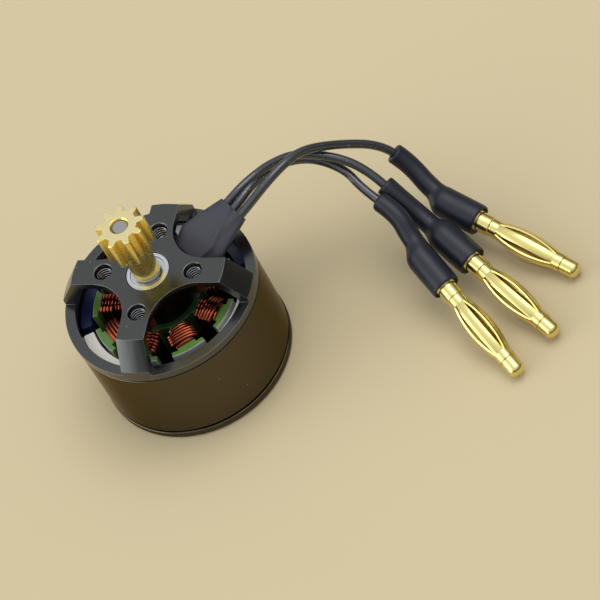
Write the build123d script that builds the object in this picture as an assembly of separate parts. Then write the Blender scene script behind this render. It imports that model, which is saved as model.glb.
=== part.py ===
"""Brushless outrunner motor with a spur pinion and three plugged phase leads.

Millimetres. The motor stands on the flat back of its rear bell: z = 0 is that face, +Z runs along
the shaft to the pinion. +X and +Y run along two arms of the front cross, and the leads leave
through the window between them.
"""
import os
from math import acos, cos, degrees, pi, radians, sin, tan

from build123d import *

# ---- driving sizes: the turning shell --------------------------------------------------------
motor_od = 28.0          # front mount and rear bell rim
can_step = 0.1           # flux ring inside the line of the rim and the mount
can_wall = 1.4
can_len = 12.9
rim_t = 1.3
rim_round = 0.55         # round at the foot of the rim
rim_edge = 0.2           # round at the top of the rim
seam_w = 0.3             # shallow groove between the rim and the flux ring
seam_depth = 0.35
spigot_len = 1.8         # bell spigot that centres the flux ring
spigot_wall = 1.1
floor_t = 1.6
hub_od = 8.8             # bell hub that grips the shaft
hub_h = 4.1
vent_count = 6           # openings in the bell floor
vent_inner_r = 6.0
vent_outer_r = 10.6
vent_spoke_w = 2.6
vent_corner_r = 0.6

# ---- driving sizes: the front mount ----------------------------------------------------------
run_gap = 0.4            # running gap between the flux ring and the front mount
ring_t = 1.15            # thin ring that closes the front over the flux ring
foot_h = 0.92            # upright step of each arm above the ring
shoulder_h = 3.93        # height of the sloping shoulder of each arm
shoulder_in = 2.77       # edge of the flat face inside the line of the mount
plate_t = 1.1
arm_w = 4.1
window_r = 5.9           # inside corner of each window between two arms
ring_wall = 1.5
screw_pcd = 13.4
screw_count = 4
screw_hole_d = 2.5
screw_mouth = 0.12       # countersink at the mouth of each screw hole
boss_od = 4.0
boss_h = 1.5
tube_od = 8.0            # bearing tube that carries the stator
tube_shoulder_od = 9.2
tube_bore_d = 5.4        # free bore between the two bearings
face_sink = 0.1          # front bearing below the face
tube_gap = 0.3           # between the bearing tube and the turning hub
tube_lip = 0.2           # rear bearing inside the end of its tube

# ---- driving sizes: bearings and shaft -------------------------------------------------------
shaft_d = 2.3
shaft_foot = 0.2         # shaft end inside the bell
bearing_od = 6.35
bearing_w = 2.6
inner_land_d = 3.5
outer_land_d = 5.2
race_chamfer = 0.12
ball_d = 1.2
ball_count = 7
shield_t = 0.15
shield_sink = 0.15
cage_wall = 0.35
cage_back = 0.3
shim_od = 3.4
clip_t = 0.3
clip_od = 3.7
clip_groove = 0.2
clip_opening = 1.3

# ---- driving sizes: pinion -------------------------------------------------------------------
tooth_count = 9
tooth_phase = 23.0       # direction of the first tooth, degrees from +X
tooth_module = 0.7
profile_shift = 0.3      # thickens the few teeth, as on small pinions
pinion_tip_d = 7.1
pressure_angle = 20.0
root_clearance = 0.25    # in modules
tooth_len = 4.9
pinion_hub_d = 3.9
pinion_hub_h = 5.6
pinion_chamfer = 0.12
bore_chamfer = 0.2
shaft_inset = 0.25       # shaft end below the top of the pinion

# ---- driving sizes: stator, windings and magnets ---------------------------------------------
slot_count = 9
stator_phase = 24.0      # direction of the first tooth, degrees from +X
stator_len = 9.5
yoke_wall = 1.35
tooth_w = 2.2
head_t = 1.25
head_lip = 0.75
slot_mouth_deg = 12.5
wire_d = 0.5
coil_low_len = 1.5       # stretch of a winding that lies one deep, next to the yoke
coil_root_gap = 0.29     # between a winding and the yoke
magnet_count = 6
magnet_arc_deg = 54.0
magnet_t = 1.55
magnet_len = 9.8
magnet_sink = 0.5        # magnet front below the front edge of the flux ring
magnet_phase = -124.0
grub_d = 2.0
grub_len = 2.6
grub_z = 2.9
grub_key = 0.9
grub_key_depth = 1.0

# ---- driving sizes: leads and plugs ----------------------------------------------------------
lead_d = 1.3
sleeve_mouth_w = 4.9
sleeve_mouth_t = 1.9
sleeve_belly_w = 7.6
sleeve_belly_t = 2.2
sleeve_root_w = 6.2
sleeve_root_t = 1.8
sleeve_belly_at = (6.2, 6.3, 18.45)
sleeve_belly_dir = (0.59, 0.77, 0.25)
sleeve_root_at = (4.6, 4.7, 17.8)
sleeve_root_dir = (0.6, 0.79, 0.1)
mouth_setback = 1.0      # sleeve mouth behind the first corner of each lead
tail_d = 0.6
tail_lift = 0.15         # winding ends above the one-deep stretch of the coils
tail_ends = [            # foot in plan, and head under the sleeve
    ((5.9, 2.9), (6.0, 4.1, 16.2)), ((5.2, 5.2), (5.0, 5.1, 16.75)), ((2.9, 5.9), (3.9, 5.9, 17.05))]
shrink_wall = 0.4        # heat-shrink over a plug cup
neck_od = 2.9            # heat-shrink over a lead
taper_len = 1.5
cup_od = 3.6             # solder cup at the back of each plug
cup_len = 6.4
collar_d = 2.85
collar_len = 2.0
core_d = 2.0
spring_od = 3.86         # widest place of the sprung cage
spring_len = 11.6
spring_t = 0.2
spring_ring_len = 1.2
spring_end_od = 2.6
leaf_count = 5
leaf_w = 1.4
tip_d = 2.4
tip_len = 2.6

# ---- clearances ------------------------------------------------------------------------------
seat_gap = 0.01          # pressed or bonded seats
bond_gap = 0.05          # glued faces, and a lead inside its heat-shrink
ball_gap = 0.03          # a ball in its races
shield_gap = 0.05        # a shield off the turning race
air_gap = 0.4            # stator to magnets
coil_gap = 0.05          # a winding off its tooth

# ---- routes of the three leads: from inside the sleeve to the back of each plug ----------------
lead_routes = {
    "lead_1": [(9.39, 7.99, 18.93), (11.45, 10.5, 19.6), (14.2, 13.6, 20.9), (16.5, 17.0, 21.2),
               (19.4, 20.7, 19.8), (22.2, 24.1, 16.6), (25.4, 26.3, 13.2), (29.3, 25.9, 9.7),
               (31.5, 22.55, 6.52), (34.2, 21.3, 5.9)],
    "lead_2": [(7.31, 9.86, 19.43), (9.45, 12.3, 20.4), (11.2, 15.2, 20.9), (13.4, 18.5, 19.7),
               (16.0, 21.0, 17.9), (20.3, 22.0, 16.6), (25.4, 21.3, 13.5), (29.7, 19.1, 10.1),
               (32.7, 17.3, 7.2), (35.3, 15.3, 6.45)],
    "lead_3": [(8.35, 8.93, 19.18), (10.45, 11.4, 20.0), (12.3, 14.5, 19.9), (13.4, 18.3, 18.0),
               (15.1, 21.4, 16.1), (18.0, 22.7, 15.1), (21.2, 21.9, 14.0), (24.4, 19.4, 12.9),
               (29.0, 15.9, 11.75), (31.3, 12.9, 8.45), (33.2, 11.0, 7.65)],
}

# ---- heights and radii that follow ------------------------------------------------------------
motor_r = motor_od / 2
can_r = motor_r - can_step
can_ir = can_r - can_wall
can_z0 = rim_t + seam_w
can_z1 = can_z0 + can_len
ring_z0 = can_z1 + run_gap
ring_z1 = ring_z0 + ring_t
foot_z1 = ring_z1 + foot_h
face_z = foot_z1 + shoulder_h
plate_z0 = face_z - plate_t
ring_ir = motor_r - ring_wall
face_r = motor_r - shoulder_in
tube_r = tube_od / 2
tube_z0 = hub_h + tube_gap
bearing_r = bearing_od / 2
shaft_r = shaft_d / 2
front_bearing_z = face_z - face_sink - bearing_w / 2
rear_bearing_z = tube_z0 + tube_lip + bearing_w / 2
race_r = (inner_land_d + outer_land_d) / 4
clip_z0 = face_z - face_sink + bond_gap
pinion_z0 = clip_z0 + clip_t + bond_gap
pinion_z1 = pinion_z0 + pinion_hub_h + tooth_len
stator_z1 = can_z1
stator_z0 = stator_z1 - stator_len
magnet_z1 = can_z1 - magnet_sink
magnet_r1 = can_ir - bond_gap
magnet_r0 = magnet_r1 - magnet_t
stator_r = magnet_r0 - air_gap
yoke_ir = tube_r + seat_gap
yoke_r = yoke_ir + yoke_wall
coil_r0 = yoke_r + coil_root_gap
coil_mid_r = coil_r0 + coil_low_len
coil_r1 = stator_r - head_t - 2 * coil_gap


def disc(radius, z0, z1):
    """Solid cylinder on the shaft axis."""
    return Pos(0, 0, z0) * Cylinder(radius, z1 - z0, align=(Align.CENTER, Align.CENTER, Align.MIN))


def ring(r_out, r_in, z0, z1):
    """Plain ring on the shaft axis."""
    return disc(r_out, z0, z1) - disc(r_in, z0 - 1, z1 + 1)


def sector(r_out, r_in, arc_deg, z0, z1):
    """Piece of a ring, centred on +X."""
    half = radians(arc_deg / 2)
    mid = (r_out, 0)
    start, end = (cos(half), -sin(half)), (cos(half), sin(half))
    outline = (
        ThreePointArc((r_out * start[0], r_out * start[1]), mid, (r_out * end[0], r_out * end[1]))
        + Line((r_out * end[0], r_out * end[1]), (r_in * end[0], r_in * end[1]))
        + ThreePointArc((r_in * end[0], r_in * end[1]), (r_in, 0), (r_in * start[0], r_in * start[1]))
        + Line((r_in * start[0], r_in * start[1]), (r_out * start[0], r_out * start[1]))
    )
    return Pos(0, 0, z0) * extrude(make_face(outline), z1 - z0)


def turned(points):
    """Solid of revolution about Z from (radius, z) points."""
    outline = Polyline(*[(r, 0, z) for r, z in points], close=True)
    return revolve(make_face(outline), Axis.Z)


def circles(solid, radius, z=None):
    """Circular edges of a solid with this radius, all of them or those at one height."""
    found = [e for e in solid.edges().filter_by(GeomType.CIRCLE) if abs(e.radius - radius) < 1e-6]
    return [e for e in found if z is None or abs(e.arc_center.Z - z) < 1e-6]


# ---- turning shell ------------------------------------------------------------------------------
def rear_bell():
    seam_r = can_r - seam_depth
    spigot_r = can_ir - bond_gap
    hub_r = hub_od / 2
    spigot_z1 = can_z0 + spigot_len
    body = turned([
        (0, 0), (motor_r, 0), (motor_r, rim_t), (seam_r, rim_t), (seam_r, can_z0), (spigot_r, can_z0),
        (spigot_r, spigot_z1), (spigot_r - spigot_wall, spigot_z1), (spigot_r - spigot_wall, floor_t),
        (hub_r, floor_t), (hub_r, hub_h), (0, hub_h),
    ])
    for height, size in ((0, rim_round), (rim_t, rim_edge)):
        body = fillet(circles(body, motor_r, height), size)
    body -= disc(shaft_r + seat_gap, -1, hub_h + 1)
    spoke_deg = degrees(vent_spoke_w / ((vent_inner_r + vent_outer_r) / 2))
    vent = sector(vent_outer_r, vent_inner_r, 360 / vent_count - spoke_deg, -1, floor_t + 1)
    vent = fillet(vent.edges().filter_by(Axis.Z), vent_corner_r)
    for k in range(vent_count):
        body -= Rot(0, 0, (k + 0.5) * 360 / vent_count) * vent
    for turn in (0, 90):
        body -= Rot(0, 0, turn) * Pos(0, 0, grub_z) * Rot(0, 90, 0) * Cylinder(
            grub_d / 2 + seat_gap, hub_od, align=(Align.CENTER, Align.CENTER, Align.MIN))
    return body


def grub_screws():
    screw = Cylinder(grub_d / 2, grub_len, align=(Align.CENTER, Align.CENTER, Align.MIN))
    screw = chamfer(screw.edges().filter_by(GeomType.CIRCLE), 0.15)
    key = extrude(RegularPolygon(grub_key / 2, 6, major_radius=False), grub_key_depth + 1)
    screw -= Pos(0, 0, grub_len - grub_key_depth) * key
    placed = Pos(shaft_r + bond_gap, 0, grub_z) * Rot(0, 90, 0) * screw
    return Compound([Rot(0, 0, turn) * placed for turn in (0, 90)])


def flux_ring():
    shell = ring(can_r, can_ir, can_z0, can_z1)
    return chamfer(circles(shell, can_r), 0.2)


def magnet(index):
    block = sector(magnet_r1, magnet_r0, magnet_arc_deg, magnet_z1 - magnet_len, magnet_z1)
    block = chamfer(block.edges().filter_by(Axis.Z), 0.15)
    return Rot(0, 0, magnet_phase + index * 360 / magnet_count) * block


# ---- front mount --------------------------------------------------------------------------------
def front_mount():
    slope = shoulder_in / shoulder_h
    under_r = ring_ir + (foot_z1 - plate_z0) * slope
    shell = turned([
        (0, face_z), (face_r, face_z), (motor_r, foot_z1), (motor_r, ring_z0), (ring_ir, ring_z0),
        (ring_ir, foot_z1), (under_r, plate_z0), (0, plate_z0),
    ])
    corner = Pos(arm_w / 2, arm_w / 2) * Rectangle(motor_od, motor_od, align=(Align.MIN, Align.MIN))
    inner = corner.vertices().sort_by_distance((0, 0))[0]
    window = Pos(0, 0, ring_z1) * extrude(fillet(inner, window_r), face_z)
    for k in range(4):
        shell -= Rot(0, 0, 90 * k) * window
    shell += disc(tube_r, tube_z0, face_z)
    shell += disc(tube_shoulder_od / 2, stator_z1 + bond_gap, plate_z0)
    hole_turns = [k * 360 / screw_count for k in range(screw_count)]
    for turn in hole_turns:
        centre = Rot(0, 0, turn) * Pos(screw_pcd / 2, 0, 0)
        shell += centre * disc(boss_od / 2, plate_z0 - boss_h, plate_z0 + plate_t / 2)
    for turn in hole_turns:
        centre = Rot(0, 0, turn) * Pos(screw_pcd / 2, 0, 0)
        shell -= centre * disc(screw_hole_d / 2, plate_z0 - boss_h - 1, face_z + 1)
        mouth = Cone(screw_hole_d / 2, screw_hole_d / 2 + screw_mouth, screw_mouth,
                     align=(Align.CENTER, Align.CENTER, Align.MAX))
        shell -= centre * Pos(0, 0, face_z) * mouth
    shell -= disc(tube_bore_d / 2, tube_z0 - 1, face_z + 1)
    shell -= disc(bearing_r + seat_gap, front_bearing_z - bearing_w / 2, face_z + 1)
    shell -= disc(bearing_r + seat_gap, tube_z0 - 1, rear_bearing_z + bearing_w / 2)
    return shell


# ---- bearings -----------------------------------------------------------------------------------
def race_groove():
    """Round the balls run in, as a ring about the shaft axis."""
    return Torus(race_r, ball_d / 2 + ball_gap)


def outer_race(z):
    race = ring(bearing_r, outer_land_d / 2, -bearing_w / 2, bearing_w / 2) - race_groove()
    return Pos(0, 0, z) * chamfer(circles(race, bearing_r), race_chamfer)


def inner_race(z):
    race = ring(inner_land_d / 2, shaft_r + seat_gap, -bearing_w / 2, bearing_w / 2) - race_groove()
    return Pos(0, 0, z) * race


def balls(z):
    spots = PolarLocations(race_r, ball_count)
    return Compound([Pos(0, 0, z) * spot * Sphere(ball_d / 2) for spot in spots])


def cage(z):
    """Crown cage: a ring behind the balls with fingers that reach between them."""
    r_out, r_in = race_r + cage_wall / 2, race_r - cage_wall / 2
    pocket = ball_d / 2 + ball_gap
    crown = ring(r_out, r_in, -pocket - cage_back, 0)
    for spot in PolarLocations(race_r, ball_count):
        crown -= spot * Sphere(pocket)
    return Pos(0, 0, z) * crown


def shields(z):
    out_r = outer_land_d / 2 - seat_gap
    in_r = inner_land_d / 2 + shield_gap
    low = -bearing_w / 2 + shield_sink
    plates = [ring(out_r, in_r, low, low + shield_t), ring(out_r, in_r, -low - shield_t, -low)]
    return Compound([Pos(0, 0, z) * plate for plate in plates])


# ---- shaft and what sits on it ------------------------------------------------------------------
def shaft():
    rod = chamfer(disc(shaft_r, shaft_foot, pinion_z1 - shaft_inset).edges(), 0.15)
    return rod - ring(shaft_r + 1, shaft_r - clip_groove, clip_z0 - seat_gap, clip_z0 + clip_t + seat_gap)


def retaining_clip():
    clip = ring(clip_od / 2, shaft_r - clip_groove + seat_gap, clip_z0, clip_z0 + clip_t)
    opening = Box(clip_od, clip_opening, 1, align=(Align.MIN, Align.CENTER, Align.CENTER))
    return clip - Pos(0, 0, clip_z0) * opening


def shim_washer():
    shim_z1 = rear_bearing_z - bearing_w / 2 - seat_gap
    return ring(shim_od / 2, shaft_r + seat_gap, hub_h + seat_gap, shim_z1)


def pinion():
    pitch_r = tooth_module * tooth_count / 2
    base_r = pitch_r * cos(radians(pressure_angle))
    tip_r = pinion_tip_d / 2
    root_r = tooth_module * (tooth_count / 2 - 1 - root_clearance + profile_shift)
    thick = tooth_module * (pi / 2 + 2 * profile_shift * tan(radians(pressure_angle)))

    def involute(angle):
        return tan(angle) - angle

    def flank(radius):
        """Half angle of a tooth at a radius, in radians."""
        here = acos(min(1.0, base_r / radius))
        return thick / (2 * pitch_r) + involute(radians(pressure_angle)) - involute(here)

    def place(radius, angle):
        return (radius * cos(angle), radius * sin(angle))

    radii = [base_r + (tip_r - base_r) * k / 4 for k in range(5)]
    rising = [place(r, -flank(r)) for r in radii]
    falling = [place(r, flank(r)) for r in reversed(radii)]
    foot = root_r * 0.9
    outline = (
        Line(place(foot, -flank(base_r)), rising[0]) + Spline(*rising)
        + ThreePointArc(rising[-1], (tip_r, 0), falling[0]) + Spline(*falling)
        + Line(falling[-1], place(foot, flank(base_r)))
        + Line(place(foot, flank(base_r)), place(foot, -flank(base_r)))
    )
    teeth_z = pinion_z0 + pinion_hub_h
    tooth = Pos(0, 0, teeth_z) * extrude(make_face(outline), tooth_len)
    gear = disc(root_r, teeth_z, pinion_z1)
    for k in range(tooth_count):
        gear += Rot(0, 0, tooth_phase + k * 360 / tooth_count) * tooth
    gear += disc(pinion_hub_d / 2, pinion_z0, teeth_z + tooth_len / 2)
    trim = ring(tip_r + 1, tip_r, teeth_z, pinion_z1 + 1)
    narrow_r = tip_r - pinion_chamfer
    for middle, low_r, high_r in ((pinion_z1 - pinion_chamfer / 2, tip_r, narrow_r),
                                  (teeth_z + pinion_chamfer / 2, narrow_r, tip_r)):
        trim += Pos(0, 0, middle) * (Cylinder(tip_r + 1, pinion_chamfer)
                                     - Cone(low_r, high_r, pinion_chamfer))
    gear -= trim
    gear -= disc(shaft_r + seat_gap, pinion_z0 - 1, pinion_z1 + 1)
    mouth = Cone(shaft_r + seat_gap, shaft_r + bore_chamfer, bore_chamfer,
                 align=(Align.CENTER, Align.CENTER, Align.MAX))
    return gear - Pos(0, 0, pinion_z1) * mouth


# ---- stator and windings ------------------------------------------------------------------------
def stator_core():
    core = ring(yoke_r, yoke_ir, stator_z0, stator_z1)
    pitch = 360 / slot_count
    head = sector(stator_r, stator_r - head_lip, pitch - slot_mouth_deg, stator_z0, stator_z1)
    neck_r = stator_r - head_t
    inner = sector(stator_r - head_lip / 2, neck_r, (pitch - slot_mouth_deg) * 0.6, stator_z0, stator_z1)
    stem = Pos(yoke_ir + yoke_wall / 2, 0, stator_z0) * Box(
        neck_r + head_t / 2 - yoke_ir - yoke_wall / 2, tooth_w, stator_len,
        align=(Align.MIN, Align.CENTER, Align.MIN))
    for k in range(slot_count):
        core += Rot(0, 0, stator_phase + k * pitch) * (head + inner + stem)
    return core


def coil(index):
    """Winding round one tooth: one turn deep by the yoke, two deep by the head."""
    def loop(depth, r_in, r_out):
        wide = tooth_w + 2 * (coil_gap + depth)
        tall = stator_len + 2 * (coil_gap + depth)
        return Pos(r_in, 0, (stator_z0 + stator_z1) / 2) * Rot(0, 90, 0) * extrude(
            RectangleRounded(tall, wide, depth), r_out - r_in)

    winding = loop(wire_d, coil_r0, coil_r1) + loop(2 * wire_d, coil_mid_r, coil_r1)
    tunnel = Box(2 * stator_r, tooth_w + 2 * coil_gap, stator_len + 2 * coil_gap,
                 align=(Align.MIN, Align.CENTER, Align.CENTER))
    winding -= Pos(0, 0, (stator_z0 + stator_z1) / 2) * tunnel
    return Rot(0, 0, stator_phase + index * 360 / slot_count) * winding


# ---- leads --------------------------------------------------------------------------------------
def corner_radii(points):
    """Arc radius at each corner: 0.45 of the shorter run over the tangent of half the turn."""
    radii = []
    for before, here, after in zip(points, points[1:], points[2:]):
        run_in, run_out = Vector(here) - Vector(before), Vector(after) - Vector(here)
        turn = run_in.get_angle(run_out)
        radii.append(0.45 * min(run_in.length, run_out.length) / tan(radians(turn / 2)))
    return radii


def tube(path, diameter):
    """Round bar along a path."""
    start = Plane(origin=path @ 0, z_dir=path % 0)
    return sweep(start * Circle(diameter / 2), path=path)


def lead_path(name):
    points = lead_routes[name]
    return FilletPolyline(*points, radius=corner_radii(points))


def lead(name):
    path = lead_path(name)
    radii = ", ".join(f"{r:.1f}" for r in corner_radii(lead_routes[name]))
    body = tube(path, lead_d)
    expected = pi * lead_d ** 2 / 4 * path.length
    print(f"{name}: length {path.length:.1f} mm, arc radii {radii}")
    print(f"    volume over section x length {body.volume / expected:.4f}")
    return body


def plug_frame(name):
    """Plane at the back of a plug: Z runs along the plug to the tip, X is level."""
    points = lead_routes[name]
    forward = (Vector(points[-1]) - Vector(points[-2])).normalized()
    return Plane(origin=points[-1], x_dir=forward.cross(Vector(0, 0, 1)), z_dir=forward)


def neck_path(name):
    """The end of a lead that lies inside its heat-shrink, from the middle of a run."""
    points = lead_routes[name]
    mouth = (Vector(points[-4]) + Vector(points[-3])) * 0.5
    radii = corner_radii(points)[-2:]
    return FilletPolyline(mouth, *points[-3:], radius=radii)


def heat_shrink(name):
    path = neck_path(name)
    wide_r = cup_od / 2 + bond_gap + shrink_wall
    neck_r = neck_od / 2
    cup_bore = cup_od / 2 + bond_gap
    lead_bore = lead_d + 2 * bond_gap
    outer = turned([(0, -taper_len), (neck_r, -taper_len), (neck_r + 0.1, -taper_len * 0.8),
                    (wide_r - 0.1, -0.3), (wide_r, 0.4), (wide_r, cup_len - 0.3),
                    (cup_bore + 0.1, cup_len), (0, cup_len)])
    inside = disc(cup_bore, 0, cup_len + 1)
    frame = plug_frame(name).location
    body = tube(path, neck_od) + frame * outer - frame * inside
    return body - tube(path, lead_bore)


def plug_core(name):
    """Solder cup, collar, the bar under the sprung cage and the rounded tip."""
    cup_r, collar_r, core_r, tip_r = cup_od / 2, collar_d / 2, core_d / 2, tip_d / 2
    z1 = cup_len
    z2 = z1 + collar_len
    z3 = z2 + spring_len
    z4 = z3 + tip_len
    core = turned([
        (0, 0), (cup_r, 0), (cup_r, z1 - 0.6), (collar_r, z1), (collar_r, z2 - 0.1), (collar_r - 0.1, z2),
        (core_r, z2), (core_r, z3), (tip_r - 0.1, z3), (tip_r, z3 + 0.1), (tip_r, z4), (0, z4),
    ])
    return plug_frame(name).location * fillet(circles(core, tip_r, z4), 0.35 * tip_d)


def plug_spring(name):
    """Sprung cage of bulged leaves between two rings on the bar."""
    z1 = cup_len + collar_len + seat_gap
    z2 = z1 + spring_len - 2 * seat_gap
    ring_r = core_d / 2 + seat_gap
    end_r, belly_r = spring_end_od / 2, spring_od / 2
    a, b = z1 + spring_ring_len, z2 - spring_ring_len
    mid = (a + b) / 2

    def bulge(end, belly, low, high):
        return (Line((0, 0, low), (end, 0, low)) + Line((end, 0, low), (end, 0, a))
                + Spline((end, 0, a), (end + 0.75 * (belly - end), 0, (a + mid) / 2), (belly, 0, mid),
                         (end + 0.75 * (belly - end), 0, (b + mid) / 2), (end, 0, b))
                + Line((end, 0, b), (end, 0, high)) + Line((end, 0, high), (0, 0, high))
                + Line((0, 0, high), (0, 0, low)))

    shell = revolve(make_face(bulge(end_r, belly_r, z1, z2)), Axis.Z)
    hollow_r = max(ring_r, end_r - spring_t)
    shell -= revolve(make_face(bulge(hollow_r, belly_r - spring_t, z1 - 1, z2 + 1)), Axis.Z)
    strip = Pos(0, 0, z1) * Box(spring_od, leaf_w, z2 - z1, align=(Align.MIN, Align.CENTER, Align.MIN))
    kept = disc(spring_od, z1, a) + disc(spring_od, b, z2)
    for k in range(leaf_count):
        kept += Rot(0, 0, k * 360 / leaf_count) * strip
    return plug_frame(name).location * (shell & kept)


def sleeve_frame():
    """Plane across the sleeve mouth, centred on the leads: X across the row, Z outwards."""
    starts = [Vector(route[0]) for route in lead_routes.values()]
    corners = [Vector(route[1]) for route in lead_routes.values()]
    centre = (corners[0] + corners[1] + corners[2]) * (1 / 3)
    inner = (starts[0] + starts[1] + starts[2]) * (1 / 3)
    outwards = (centre - inner).normalized()
    return Plane(origin=centre - outwards * mouth_setback, x_dir=corners[0] - corners[1], z_dir=outwards)


def lead_sleeve():
    """Flat heat-shrink over the three leads, from under the face plate out through the window."""
    mouth = sleeve_frame()
    belly = Plane(origin=sleeve_belly_at, x_dir=mouth.x_dir, z_dir=sleeve_belly_dir)
    root = Plane(origin=sleeve_root_at, x_dir=mouth.x_dir, z_dir=sleeve_root_dir)
    sections = [
        root * RectangleRounded(sleeve_root_w, sleeve_root_t, 0.49 * sleeve_root_t),
        belly * RectangleRounded(sleeve_belly_w, sleeve_belly_t, 0.49 * sleeve_belly_t),
        mouth * RectangleRounded(sleeve_mouth_w, sleeve_mouth_t, 0.49 * sleeve_mouth_t),
    ]
    body = loft(sections, ruled=True)
    for route in lead_routes.values():
        run = Vector(route[1]) - Vector(route[0])
        bore = Plane(origin=route[0], z_dir=run) * Cylinder(
            lead_d / 2 + seat_gap, run.length + 1, align=(Align.CENTER, Align.CENTER, Align.MIN))
        body -= bore
    return body


def phase_tails():
    """Short ends of the windings that rise into the root of the sleeve."""
    foot_z = stator_z1 + coil_gap + wire_d + tail_lift
    tails = []
    for foot, head in tail_ends:
        start = Vector(*foot, foot_z)
        rise = Vector(*head) - start
        bar = Cylinder(tail_d / 2, rise.length, align=(Align.CENTER, Align.CENTER, Align.MIN))
        tails.append(Plane(origin=start, z_dir=rise) * bar)
    return Compound(tails)


pieces = {
    "front_mount": front_mount(),
    "rear_bell": rear_bell(),
    "bell_grub_screws": grub_screws(),
    "flux_ring": flux_ring(),
    "stator_core": stator_core(),
    "shaft": shaft(),
    "pinion": pinion(),
    "retaining_clip": retaining_clip(),
    "shim_washer": shim_washer(),
    "lead_sleeve": lead_sleeve(),
    "phase_tails": phase_tails(),
}
for place, height in (("front", front_bearing_z), ("rear", rear_bearing_z)):
    pieces[f"{place}_bearing_outer_race"] = outer_race(height)
    pieces[f"{place}_bearing_inner_race"] = inner_race(height)
    pieces[f"{place}_bearing_balls"] = balls(height)
    pieces[f"{place}_bearing_cage"] = cage(height)
    pieces[f"{place}_bearing_shields"] = shields(height)
for number in range(magnet_count):
    pieces[f"magnet_{number + 1}"] = magnet(number)
for number in range(slot_count):
    pieces[f"coil_{number + 1}"] = coil(number)
for number, name in enumerate(lead_routes, start=1):
    pieces[name] = lead(name)
    pieces[f"heat_shrink_{number}"] = heat_shrink(name)
    pieces[f"plug_core_{number}"] = plug_core(name)
    pieces[f"plug_spring_{number}"] = plug_spring(name)

os.makedirs("parts", exist_ok=True)
for name, shape in pieces.items():
    export_step(shape, f"parts/{name}.step")
print(f"{len(pieces)} nodes, face at z = {face_z:.2f}, pinion top at z = {pinion_z1:.2f}")
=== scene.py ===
# %% [markdown]
# # A brushless outrunner motor
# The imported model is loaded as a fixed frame: every solid lies where it belongs, in metres, with z = 0
# on the flat back of the rear bell and +Z along the shaft. This file gives each solid its finish, and
# models again what a plain solid can't show: soft heat-shrink, limp leads, wire windings, threads and
# the small rounds of machined edges.

# %% Load the frame
import math
import random

import bmesh
import bpy
from mathutils import Matrix, Vector


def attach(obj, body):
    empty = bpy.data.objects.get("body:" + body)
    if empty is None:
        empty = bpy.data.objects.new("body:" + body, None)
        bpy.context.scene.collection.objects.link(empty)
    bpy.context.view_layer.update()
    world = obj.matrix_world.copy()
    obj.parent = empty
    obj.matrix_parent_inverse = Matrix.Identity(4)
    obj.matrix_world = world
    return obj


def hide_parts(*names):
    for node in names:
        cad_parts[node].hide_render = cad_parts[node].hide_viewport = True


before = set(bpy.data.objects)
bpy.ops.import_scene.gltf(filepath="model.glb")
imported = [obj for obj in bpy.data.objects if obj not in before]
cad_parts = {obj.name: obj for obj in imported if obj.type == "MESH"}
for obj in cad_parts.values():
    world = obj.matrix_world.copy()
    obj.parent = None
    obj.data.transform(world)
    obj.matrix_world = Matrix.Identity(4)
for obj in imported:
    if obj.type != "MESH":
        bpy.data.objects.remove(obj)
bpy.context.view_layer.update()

MM = 0.001

# %% [markdown]
# ## Small helpers
# An operator works on everything that is selected, so each step first says what it works on. A finished
# piece keeps its place in its mesh and its object at the origin, as the loaded solids do.

# %% Selecting, placing and modifying
def rest():
    """Object mode, nothing selected."""
    if bpy.context.mode != "OBJECT":
        bpy.ops.object.mode_set(mode="OBJECT")
    bpy.ops.object.select_all(action="DESELECT")


def take(obj):
    """Make one object the only selected and active one, and return it."""
    rest()
    obj.select_set(True)
    bpy.context.view_layer.objects.active = obj
    return obj


def named(name):
    """Name the object that an operator has just made."""
    obj = bpy.context.object
    obj.name = name
    obj.data.name = name
    return obj


def settle(obj):
    """Move an object's place, turn and size into its mesh."""
    take(obj)
    bpy.ops.object.transform_apply(location=True, rotation=True, scale=True)
    return obj


def modify(obj, kind, **settings):
    """Add a modifier, set it up and apply it."""
    take(obj)
    modifier = obj.modifiers.new(kind.lower(), kind)
    for setting, value in settings.items():
        setattr(modifier, setting, value)
    bpy.ops.object.modifier_apply(modifier=modifier.name)
    return obj


def smooth(obj, degrees=35):
    """Shade smooth, with creases kept where faces meet at more than this angle."""
    take(obj)
    bpy.ops.object.shade_smooth_by_angle(angle=math.radians(degrees))
    return obj


def twin(node, name):
    """A copy of a loaded solid with its loose triangles merged, to be shaped further."""
    take(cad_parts[node])
    bpy.ops.object.duplicate()
    copy = named(name)
    copy.parent = None
    copy.data.materials.clear()
    take(copy)
    bpy.ops.object.mode_set(mode="EDIT")
    bpy.ops.mesh.select_all(action="SELECT")
    bpy.ops.mesh.remove_doubles(threshold=0.002 * MM)
    bpy.ops.mesh.dissolve_limited(angle_limit=math.radians(0.5))
    bpy.ops.object.mode_set(mode="OBJECT")
    return copy


def put(obj, body, node_slot, *nodes):
    """Hand a finished piece to the frame: its body and the solids it stands for. node_slot, the material
    slot, is not used.
    """
    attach(obj, body)
    if nodes:
        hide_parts(*nodes)
    return obj


# %% [markdown]
# ## Camera
# A long lens far away keeps the motor's circles close to true ellipses. The view comes from high up on
# the motor's front right, and the camera is rolled, because the real motor leans on its leads while this
# one stands upright.

# %% Camera
camera_at = Vector((170.28, -211.22, 327.78)) * MM
camera_turn = math.radians(35.46)
camera_height = math.radians(50.49)
camera_roll = math.radians(-29.57)

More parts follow.
